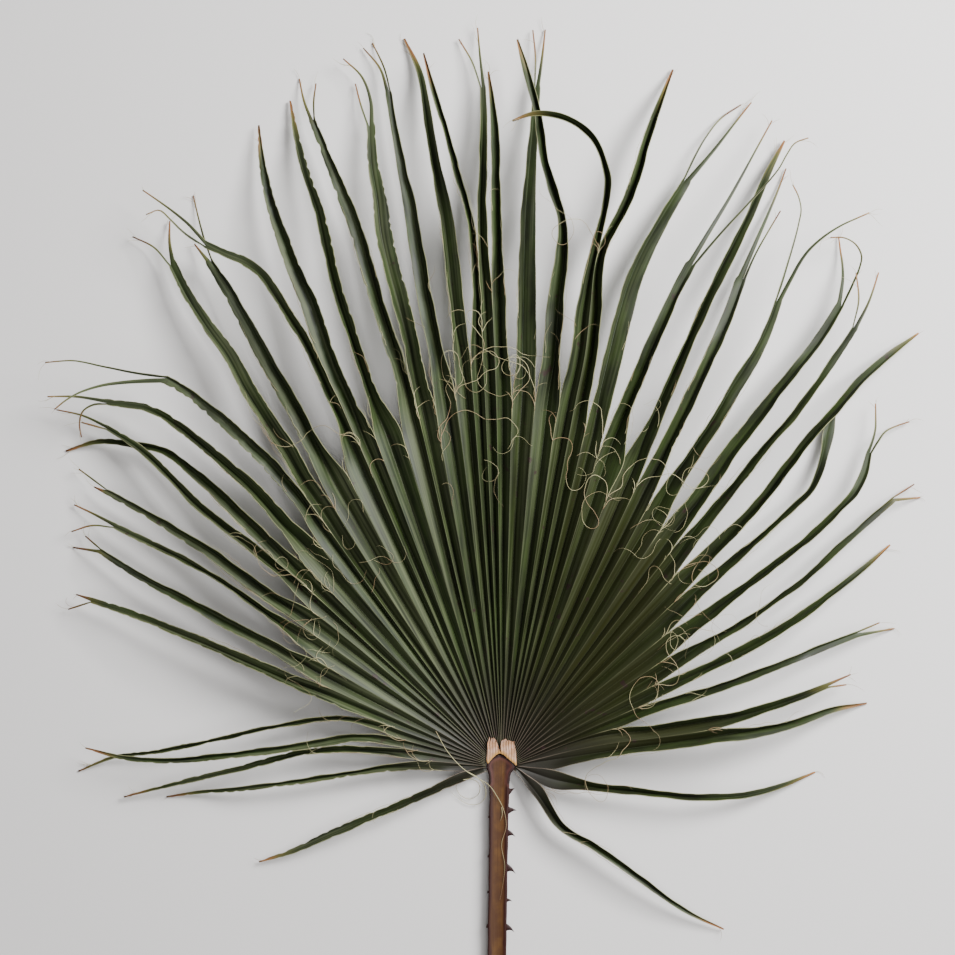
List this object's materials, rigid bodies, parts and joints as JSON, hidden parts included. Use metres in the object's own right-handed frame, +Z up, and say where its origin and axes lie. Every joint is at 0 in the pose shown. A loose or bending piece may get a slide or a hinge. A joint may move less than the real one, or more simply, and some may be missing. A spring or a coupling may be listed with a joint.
{
  "type": "fan palm leaf",
  "caption": "Cut fan palm leaf lying face up: pleated blade of narrow segments with free drooping forked tips, papery collar flap, and a toothed stalk.",
  "frame": {"origin": "on the resting surface, under the point where the ribs of the blade meet the end of the stalk", "axes": "+Y from the stalk out along the middle of the blade, +X to the right seen from above, +Z up out of the leaf's upper face"},
  "size_m": [0.9731, 1.1041, 0.0841],
  "materials": {
    "blade": "waxy dark green palm blade, grey-green bloom on the lit halves of the pleats, tan dry tips",
    "stalk": "smooth ochre brown palm stalk with red-brown margins and dark teeth",
    "collar": "matt pinkish beige papery flap, torn along its edge"
  },
  "bodies": {
    "root": {"segment_01": "blade", "segment_02": "blade", "segment_03": "blade", "segment_04": "blade", "segment_05": "blade", "segment_06": "blade", "segment_07": "blade", "segment_08": "blade", "segment_09": "blade", "segment_10": "blade", "segment_11": "blade", "segment_12": "blade", "segment_13": "blade", "segment_14": "blade", "segment_15": "blade", "segment_16": "blade", "segment_17": "blade", "segment_18": "blade", "segment_19": "blade", "segment_20": "blade", "segment_21": "blade", "segment_22": "blade", "segment_23": "blade", "segment_24": "blade", "segment_25": "blade", "segment_26": "blade", "segment_27": "blade", "segment_28": "blade", "segment_29": "blade", "segment_30": "blade", "segment_31": "blade", "segment_32": "blade", "segment_33": "blade", "segment_34": "blade", "segment_35": "blade", "segment_36": "blade", "segment_37": "blade", "segment_38": "blade", "segment_39": "blade", "segment_40": "blade", "segment_41": "blade", "segment_42": "blade", "segment_43": "blade", "segment_44": "blade", "segment_45": "blade", "segment_46": "blade", "petiole": "stalk", "hastula": "collar"}
  },
  "joints": []
}
